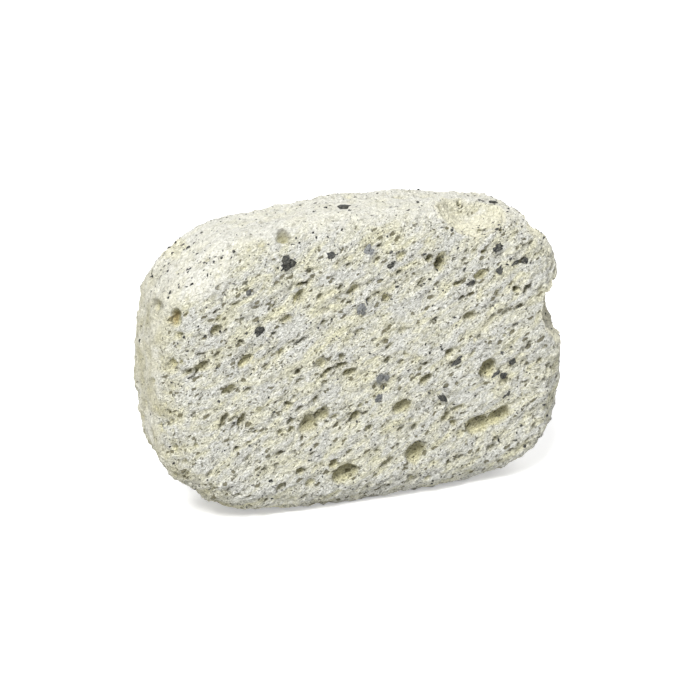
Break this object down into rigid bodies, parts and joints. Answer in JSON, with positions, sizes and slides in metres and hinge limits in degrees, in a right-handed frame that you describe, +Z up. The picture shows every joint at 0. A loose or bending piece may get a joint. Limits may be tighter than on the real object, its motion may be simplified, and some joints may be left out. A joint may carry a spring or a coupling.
{
  "type": "pumice stone",
  "caption": "Hand-sized block of pale natural pumice with rounded edges, domed faces, slanting grain, open gas pits and a broken rim, standing on its worn narrow side.",
  "frame": {"origin": "middle of the bottom of the stone's bounding box, on the worn flat that it stands on", "axes": "+X along the stone's length, +Y through its thickness from the front face to the back face, +Z up"},
  "size_m": [0.1, 0.0308, 0.0696],
  "materials": {
    "pumice": "dry, open-pored volcanic foam, fully matt, cream to grey-white with dark mineral grains"
  },
  "bodies": {
    "root": {"stone": "pumice"}
  },
  "joints": []
}
